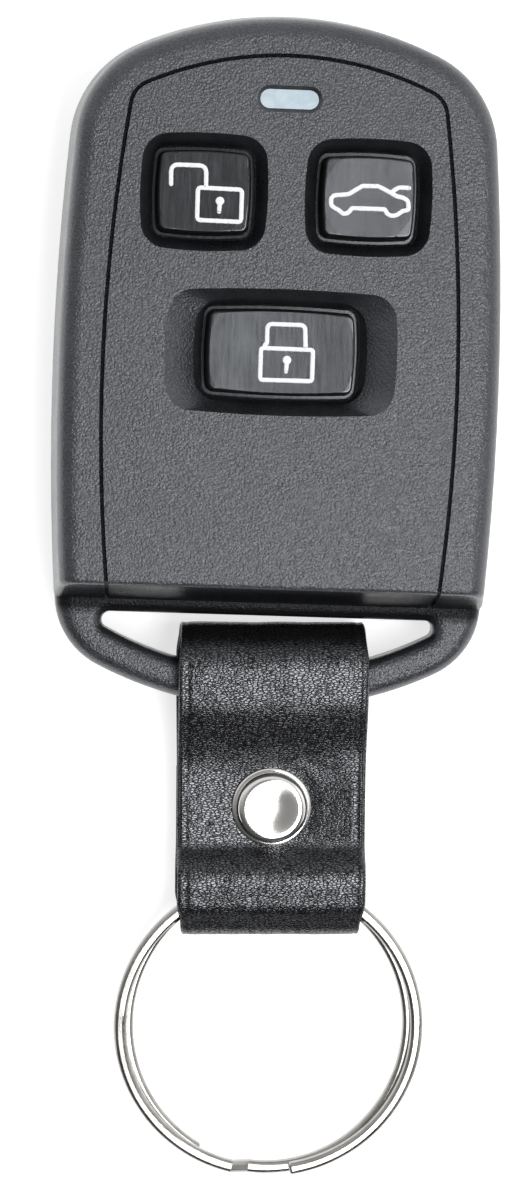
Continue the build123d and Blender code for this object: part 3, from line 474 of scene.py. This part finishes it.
def ribbon(points, closed, width, chance):
    """Left and right edge points of a line of slightly uneven width."""
    count = len(points)
    sides = []
    for index, point in enumerate(points):
        before = points[index - 1] if closed or index else point
        after = points[(index + 1) % count] if closed or index < count - 1 else point
        along = (after - before).normalized()
        across = Vector((-along.y, along.x))
        half = width / 2 * (1 + chance.uniform(-0.07, 0.07))
        sides.append((point + across * half, point - across * half))
    if closed:
        return sides
    last = round_end(points[-1], points[-2], width)[::-1]
    return round_end(points[0], points[1], width) + sides[1:-1] + last


def round_end(tip, inner, width):
    """Pairs of edge points that close a line with a half circle."""
    back = (tip - inner).normalized()
    across = Vector((back.y, -back.x))
    pairs = []
    for degrees in (85, 60, 35, 0):
        angle = math.radians(degrees)
        reach = back * (width / 2 * math.sin(angle))
        half = across * (width / 2 * math.cos(angle))
        pairs.append((tip + reach + half, tip + reach - half))
    return pairs


class Sheet:
    """Collects flat strips that lie on a cap and makes one mesh of them."""

    def __init__(self, cap):
        self.x, self.y, width = CAPS[cap]
        self.centre_z = CAP_TOP_Z + CAP_DISH_RADIUS - width**2 / (8 * CAP_DISH_RADIUS)
        self.points, self.faces = [], []

    def lay(self, point, lift):
        """Adds a point that stands lift above the cap's dish and returns its number."""
        z = self.centre_z - math.sqrt(CAP_DISH_RADIUS**2 - point.x**2 - point.y**2) + lift
        self.points.append(((self.x + point.x) * MM, (self.y + point.y) * MM, z * MM))
        return len(self.points) - 1

    def strip(self, pairs, closed):
        """Slightly crowned line whose edges run down into the cap."""
        rows = []
        for left, right in pairs:
            out = (left - right).normalized() * INK_SKIRT
            rows.append([
                self.lay(left + out, -INK_SUNK), self.lay(left, INK_EDGE),
                self.lay((left + right) / 2, INK_CROWN),
                self.lay(right, INK_EDGE), self.lay(right - out, -INK_SUNK),
            ])
        last = len(rows) if closed else len(rows) - 1
        for index in range(last):
            near, far = rows[index], rows[(index + 1) % len(rows)]
            for k in range(4):
                self.faces.append((near[k], near[k + 1], far[k + 1], far[k]))

    def keyhole(self, points, radius):
        """Round head and short foot of the padlock's keyhole."""
        head, foot = (Vector(point) for point in points)
        chance = random.Random(5)
        self.strip(ribbon(rounded_line([head, foot], False, 0.1), False, LINE, chance), False)
        turns = [math.tau * k / HEAD_SIDES for k in range(HEAD_SIDES)]
        rings = []
        for share, lift in ((0.0, 0.034), (0.5, 0.034), (0.93, 0.026), (1.05, -INK_SUNK)):
            spots = [head + Vector((math.cos(a), math.sin(a))) * radius * share for a in turns]
            rings.append([self.lay(spot, lift) for spot in spots])
        for near, far in zip(rings, rings[1:]):
            for k in range(HEAD_SIDES):
                after = (k + 1) % HEAD_SIDES
                self.faces.append((near[k], near[after], far[after], far[k]))


def new_piece(name, points, faces, materials, body):
    """Smooth mesh that rides the given body."""
    mesh = bpy.data.meshes.new(name)
    mesh.from_pydata(points, [], faces)
    mesh.update()
    for material in materials:
        mesh.materials.append(material)
    mesh.polygons.foreach_set("use_smooth", [True] * len(mesh.polygons))
    piece = bpy.data.objects.new(name, mesh)
    bpy.context.scene.collection.objects.link(piece)
    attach(piece, body)
    return piece


def print_signs():
    """White signs on the three caps."""
    ink = printed_ink()
    chance = random.Random(11)
    signs = {"unlock": (UNLOCK_LINES, UNLOCK_KEY), "boot": (BOOT_LINES, None), "lock": (LOCK_LINES, LOCK_KEY)}
    for cap, (lines, key) in signs.items():
        sheet = Sheet(cap)
        for points, closed, radius in lines:
            sheet.strip(ribbon(rounded_line(points, closed, radius), closed, LINE, chance), closed)
        if key:
            sheet.keyhole(key, KEYHOLE_RADIUS)
        new_piece(cap + "_sign", sheet.points, sheet.faces, [ink], cap + "_button")


# Leather strap, drawn in the strap's own frame in mm: y along it, z up. The frame lies on the middle
# of the bail and drops towards the ring, whose fold rests just above the table.
STRAP_X = 0.6
PIVOT_Y = -27.2
PIVOT_Z = 4.45
STRAP_YAW = math.radians(1.6)
FOLD_FORWARD = 0.7
FOLD_DISTANCE = 19.8
LOWER_Z = 3.23
STRAP_TILT = math.asin((PIVOT_Z - LOWER_Z) / (FOLD_DISTANCE - FOLD_FORWARD))
BAIL_PLACE = Matrix.Translation((STRAP_X, PIVOT_Y, PIVOT_Z)) @ Matrix.Rotation(STRAP_YAW, 4, "Z")
STRAP_PLACE = BAIL_PLACE @ Matrix.Rotation(STRAP_TILT, 4, "X") @ Matrix.Translation((0, FOLD_FORWARD, 0))
LEATHER = 1.0
LAYER = 1.03
STRAP_HALF = 8.12
RIVET_Y = -11.6
FRONT_WAIST_Y = -8.0
BACK_WAIST_Y = -7.9
CREST_WAIST_Y = -15.3
INNER_END_Y = -15.2
OUTER_END_Y = -8.5
UPPER_FOLD = 3.7
UPPER_CROWN_Z = 4.05
SHOULDER = (-2.6, 3.45)
LOWER_FOLD = 2.7
CREST = (-17.2, 3.0)
RING_SLOPE = (-20.2, 2.55)
TAIL_Y = -22.5
TAIL_Z = 1.2
UNDER_RING_Y = -17.6
WAIST_BEND = 1.5
FRONT_BEND = 10.0
FOLD_ROOM = 0.05
STEP = 0.16

# Cross-section of the strap: rounding of its outer and inner edges, and points across each skin
ROUND_OUT = 0.32
ROUND_IN = 0.18
EDGE_TURNS = [math.radians(18 * k) for k in (1, 2, 3, 4)]
ACROSS = 96
ACROSS_INSIDE = 40


def band_line():
    """Middle line of the band as points (y, z), from its inner end round both folds."""
    slope = math.asin(UPPER_FOLD / -BACK_WAIST_Y)
    back_corner = UPPER_FOLD * math.tan((math.pi / 2 + slope) / 2) + FOLD_ROOM
    under = -LOWER_FOLD - FOLD_ROOM
    bends = [
        ((BACK_WAIST_Y, 0), WAIST_BEND),
        ((UPPER_FOLD, -back_corner), UPPER_FOLD),
        ((UPPER_FOLD, UPPER_CROWN_Z), 3.2),
        (SHOULDER, 7.0),
        ((FRONT_WAIST_Y, LAYER), FRONT_BEND),
        ((CREST_WAIST_Y, LAYER), WAIST_BEND),
        (CREST, 2.2),
        (RING_SLOPE, 2.0),
        ((TAIL_Y, TAIL_Z), 1.3),
        ((TAIL_Y, under), LOWER_FOLD),
        ((UNDER_RING_Y, under), WAIST_BEND),
        ((CREST_WAIST_Y, -LAYER), WAIST_BEND),
    ]
    ends = (INNER_END_Y, 0), (OUTER_END_Y, -LAYER)
    corner_points = [Vector(spot) for spot in (ends[0], *(spot for spot, _ in bends), ends[1])]
    line = [corner_points[0]]
    for index, (_, radius) in enumerate(bends, 1):
        line += bend_points(*corner_points[index - 1:index + 2], radius)
    line.append(corner_points[-1])
    return even_line(line)


def bend_points(before, corner, after, radius):
    """Points every two degrees or so round a corner of the given radius."""
    to_before = (before - corner).normalized()
    to_after = (after - corner).normalized()
    half_angle = to_before.angle(to_after) / 2
    centre = corner + (to_before + to_after).normalized() * (radius / math.sin(half_angle))
    start = corner + to_before * (radius / math.tan(half_angle)) - centre
    turn = math.pi - 2 * half_angle
    if to_before.cross(to_after) >= 0:
        turn = -turn
    steps = max(2, round(math.degrees(abs(turn)) / 2))
    return [centre + Matrix.Rotation(turn * k / steps, 2) @ start for k in range(steps + 1)]


def even_line(line):
    """The same line with points STEP apart, each with its direction and its distance along it."""
    lengths = [0.0]
    for a, b in zip(line, line[1:]):
        lengths.append(lengths[-1] + (b - a).length)
    count = round(lengths[-1] / STEP)
    even, segment = [], 0
    for number in range(count + 1):
        distance = lengths[-1] * number / count
        while segment < len(line) - 2 and lengths[segment + 1] < distance:
            segment += 1
        span = lengths[segment + 1] - lengths[segment]
        share = (distance - lengths[segment]) / span if span > 1e-9 else 0.0
        even.append((line[segment].lerp(line[segment + 1], min(share, 1.0)), distance))
    made = []
    for index, (point, distance) in enumerate(even):
        before = even[max(index - 2, 0)][0]
        after = even[min(index + 2, count)][0]
        made.append((point, (after - before).normalized(), distance))
    return made


def ease(value, low, high):
    """Smooth step from 0 at low to 1 at high."""
    share = min(max((value - low) / (high - low), 0.0), 1.0)
    return share * share * (3 - 2 * share)


def half_width(y):
    """The strap draws in a little where it folds."""
    return STRAP_HALF - 0.2 * ease(y, 1.0, 3.2) - 0.42 * ease(-y, 19.8, 22.0)


def skin_height(x, y, on_top):
    """How far the outer skin stands out of the plain band, in mm."""
    spot = Vector((x * 0.35, y * 0.35, 3.0))
    height = 0.045 * noise.noise(spot) + 0.02 * noise.noise(spot * 3.1)
    edge = STRAP_HALF - abs(x)
    height -= 0.05 * math.exp(-((edge - 0.75) / 0.22) ** 2)
    if not on_top:
        return height
    away = math.hypot(x, y - RIVET_Y)
    height -= 0.06 * (1 - ease(away, 3.2, 4.6))
    side_rise = 0.28 if x < 0 else 0.66
    height += side_rise * ease(abs(x), 1.6, 9.8) * (1 - ease(abs(y - RIVET_Y), 0.8, 6.2))
    ripple = noise.noise(Vector((x * 1.3, y * 0.4, 9.0))) + 0.5 * noise.noise(Vector((x * 2.4, y * 0.9, 4.0)))
    left = ease(-x, 2.6, 4.2) * ease(x, -7.9, -6.6) * (1 - ease(abs(y - RIVET_Y + 0.3), 2.2, 4.6))
    return height + 0.045 * left * ripple


def section(width, skin):
    """Points (x, lift, u) round the band: outer skin, right edge, inner skin, left edge."""
    top, foot = LEATHER / 2, -LEATHER / 2
    outer = []
    for k in range(ACROSS + 1):
        x = (width - ROUND_OUT) * (-1 + 2 * k / ACROSS)
        outer.append((x, top + skin(x), x))
    right = []
    for turn in EDGE_TURNS:
        x = width - ROUND_OUT + ROUND_OUT * math.sin(turn)
        right.append((x, top - ROUND_OUT + ROUND_OUT * math.cos(turn), width + turn * ROUND_OUT))
    right += [(width, top - ROUND_OUT, width + 0.5), (width, foot + ROUND_IN, width + 0.9)]
    for turn in reversed(EDGE_TURNS):
        x = width - ROUND_IN + ROUND_IN * math.sin(turn)
        right.append((x, foot + ROUND_IN - ROUND_IN * math.cos(turn), width + 1.3))
    inner = []
    for k in range(ACROSS_INSIDE + 1):
        x = (width - ROUND_IN) * (1 - 2 * k / ACROSS_INSIDE)
        inner.append((x, foot, x + 20))
    left = [(-x, lift, -u) for x, lift, u in reversed(right)]
    return outer + right + inner + left


def build_strap():
    """Band swept along its line, with skin and raw edges, in place of the CAD strap."""
    points, faces, uvs, face_kinds, rows = [], [], [], [], []
    for middle, along, distance in band_line():
        normal = Vector((along.y, -along.x))
        y, on_top = middle.x + normal.x * LEATHER / 2, normal.y > 0.25
        rows.append([])
        for x, lift, u in section(half_width(middle.x), lambda x: skin_height(x, y, on_top)):
            yz = middle + normal * lift
            rows[-1].append(len(points))
            points.append(STRAP_PLACE @ Vector((x, yz.x, yz.y)) * MM)
            uvs.append((u, distance))
    around = len(rows[0])
    raw_faces = range(ACROSS + 4, ACROSS + 8)
    for near, far in zip(rows, rows[1:]):
        for k in range(around):
            after = (k + 1) % around
            faces.append((near[k], far[k], far[after], near[after]))
            mirrored = around - 1 - (k - ACROSS)
            face_kinds.append(int(k in raw_faces or mirrored in raw_faces))
    faces += [tuple(rows[0]), tuple(rows[-1][::-1])]
    face_kinds += [1, 1]
    strap = new_piece("leather_strap", points, faces, [leather_skin(), raw_edge()], "strap")
    strap.data.polygons.foreach_set("material_index", face_kinds)
    layer = strap.data.uv_layers.new(name="skin")
    for loop in strap.data.loops:
        layer.data[loop.index].uv = uvs[loop.vertex_index]
    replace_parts(strap, "strap")


# Head of the rivet: radius and height in mm, from the rim to the middle of its shallow dish
RIVET_BASE = 1.53
RIVET_SIDES = 96
RIVET_PROFILE = [
    (3.43, 0.0), (3.43, 0.12), (3.40, 0.22), (3.33, 0.31), (3.22, 0.345), (3.13, 0.35), (3.10, 0.36),
    (3.07, 0.55), (3.04, 0.80), (2.96, 1.02), (2.83, 1.20), (2.67, 1.31), (2.48, 1.355), (2.25, 1.35),
    (1.9, 1.32), (1.45, 1.275), (1.15, 1.243), (0.85, 1.22), (0.5, 1.207), (0.2, 1.203),
]


def turn_rivet_head(material):
    """Turned head with a thin rim, a steep flank and a dished top, in place of the CAD head."""
    spot = STRAP_PLACE @ Matrix.Translation((0, RIVET_Y, RIVET_BASE))
    points, faces = [], []
    for radius, height in RIVET_PROFILE:
        for k in range(RIVET_SIDES):
            angle = math.tau * k / RIVET_SIDES
            rim = Vector((radius * math.cos(angle), radius * math.sin(angle), height))
            points.append(spot @ rim * MM)
    for row in range(len(RIVET_PROFILE) - 1):
        near, far = row * RIVET_SIDES, (row + 1) * RIVET_SIDES
        for k in range(RIVET_SIDES):
            after = (k + 1) % RIVET_SIDES
            faces.append((near + k, near + after, far + after, far + k))
    last = (len(RIVET_PROFILE) - 1) * RIVET_SIDES
    points.append(spot @ Vector((0, 0, RIVET_PROFILE[-1][1])) * MM)
    middle = len(points) - 1
    faces += [(last + k, last + (k + 1) % RIVET_SIDES, middle) for k in range(RIVET_SIDES)]
    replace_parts(new_piece("rivet_head", points, faces, [material], "strap"), "rivet_cap")


# Camera, light and table: places and sizes in metres, turns in radians, the lens in mm
CAMERA_PLACE = (-0.0185946, 0.0, 0.350)
CAMERA_YAW = 0.03418757
CAMERA_PITCH = -0.05123364
CAMERA_ROLL = -0.06081843
LENS = 120.957
LAMP_PLACE = (0.080, -0.110, 0.337)
LAMP_AIM = (0.0, -0.02, 0.0)
LAMP_ALONG = (0.131, 0.991, 0)
LAMP_SIZE = (0.124, 0.292)
LAMP_BRIGHTNESS = 6.3
CEILING = 0.26
TABLE_HALF = 1.5
TABLE_Z = -0.0001
TABLE_WHITE = 0.80
TABLE_GLOW = 0.66
MIRRORED_GLOW = 0.1


def place_camera():
    """Camera above the fob, fitted to the photograph."""
    camera = bpy.data.objects.new("camera", bpy.data.cameras.new("camera"))
    bpy.context.scene.collection.objects.link(camera)
    turn = Matrix.Rotation(CAMERA_YAW, 4, "Z") @ Matrix.Rotation(CAMERA_PITCH, 4, "Y")
    turn = turn @ Matrix.Rotation(CAMERA_ROLL, 4, "X")
    camera.matrix_world = Matrix.Translation(CAMERA_PLACE) @ turn
    camera.data.lens = LENS
    camera.data.sensor_width = 36.0
    camera.data.clip_start, camera.data.clip_end = 0.01, 10.0
    bpy.context.scene.camera = camera


def hang_lamp():
    """Soft box, long towards the ring's end, whose face has the given brightness."""
    lamp = bpy.data.objects.new("key", bpy.data.lights.new("key", "AREA"))
    lamp.data.shape = "RECTANGLE"
    lamp.data.size, lamp.data.size_y = LAMP_SIZE
    lamp.data.energy = LAMP_BRIGHTNESS * 4 * LAMP_SIZE[0] * LAMP_SIZE[1]
    lamp.location = LAMP_PLACE
    back = (Vector(LAMP_PLACE) - Vector(LAMP_AIM)).normalized()
    side = Vector(LAMP_ALONG).cross(back).normalized()
    turn = Matrix((side, back.cross(side), back)).transposed()
    lamp.rotation_mode = "QUATERNION"
    lamp.rotation_quaternion = turn.to_quaternion()
    lamp.visible_camera = False
    bpy.context.scene.collection.objects.link(lamp)


def seen_directly(tree):
    """1 for camera, mirror and clear rays, and the node that tells them apart."""
    path = add(tree, "ShaderNodeLightPath")
    seen = maths(tree, path.outputs["Is Camera Ray"], path.outputs["Is Glossy Ray"], "MAXIMUM")
    return maths(tree, seen, path.outputs["Is Transmission Ray"], "MAXIMUM"), path


def light_room():
    """Room: grey above, paler low on the right, dark beyond the ring's end, white below."""
    world = bpy.data.worlds.new("room")
    bpy.context.scene.world = world
    world.use_nodes = True
    tree = world.node_tree
    tree.nodes.clear()
    towards = parts_of(tree, add(tree, "ShaderNodeTexCoord").outputs["Generated"])
    belt = spread(tree, towards["Y"], -0.42, 0.35, 0.10, 0.85)
    share = spread(tree, towards["Z"], 0.90, 0.98, 0.0, 1.0)
    room = add(tree, "ShaderNodeMix", data_type="FLOAT")
    feed(tree, room.inputs["Factor"], share)
    feed(tree, room.inputs["A"], belt)
    feed(tree, room.inputs["B"], CEILING)
    beside = spread(tree, towards["X"], 0.66, 0.9, 0.0, 0.6)
    seen, path = seen_directly(tree)
    below = all_of(tree, spread(tree, towards["Z"], -0.01, 0.0, 1.0, 0.0), seen)
    white = maths(tree, below, path.outputs["Is Camera Ray"], "MAXIMUM")
    level = add(tree, "ShaderNodeMix", data_type="FLOAT")
    feed(tree, level.inputs["Factor"], white)
    feed(tree, level.inputs["A"], maths(tree, room.outputs["Result"], beside))
    feed(tree, level.inputs["B"], 1.0)
    background = add(tree, "ShaderNodeBackground")
    background.inputs["Color"].default_value = (1, 1, 1, 1)
    feed(tree, background.inputs["Strength"], level.outputs["Result"])
    output = add(tree, "ShaderNodeOutputWorld")
    tree.links.new(background.outputs["Background"], output.inputs["Surface"])


def lay_table():
    """White table just under the fob, which keeps the soft shadow."""
    mesh = bpy.data.meshes.new("table")
    signs = (-1, -1), (1, -1), (1, 1), (-1, 1)
    corner_points = [(x * TABLE_HALF, y * TABLE_HALF, TABLE_Z) for x, y in signs]
    mesh.from_pydata(corner_points, [], [(0, 1, 2, 3)])
    table = bpy.data.objects.new("table", mesh)
    bpy.context.scene.collection.objects.link(table)
    material = bpy.data.materials.new("table_white")
    material.use_nodes = True
    tree = material.node_tree
    tree.nodes.clear()
    matt = add(tree, "ShaderNodeBsdfDiffuse")
    matt.inputs["Color"].default_value = (TABLE_WHITE, TABLE_WHITE, TABLE_WHITE, 1)
    glow = add(tree, "ShaderNodeEmission")
    seen, path = seen_directly(tree)
    direct = maths(tree, seen, TABLE_GLOW, "MULTIPLY")
    mirrored = maths(tree, path.outputs["Is Glossy Ray"], MIRRORED_GLOW, "MULTIPLY")
    feed(tree, glow.inputs["Strength"], maths(tree, direct, mirrored))
    both = add(tree, "ShaderNodeAddShader")
    tree.links.new(matt.outputs["BSDF"], both.inputs[0])
    tree.links.new(glow.outputs["Emission"], both.inputs[1])
    output = add(tree, "ShaderNodeOutputMaterial")
    tree.links.new(both.outputs["Shader"], output.inputs["Surface"])
    mesh.materials.append(material)


def soften_domes():
    """Gives each soft dome a mesh of its own."""
    for name in CAPS:
        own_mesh(NODES[name + "_dome"])


dress()
soften_domes()
print_signs()
build_strap()
turn_rivet_head(bpy.data.materials["nickel"])
place_camera()
light_room()
lay_table()
hang_lamp()
bpy.context.scene.view_settings.view_transform = "Standard"
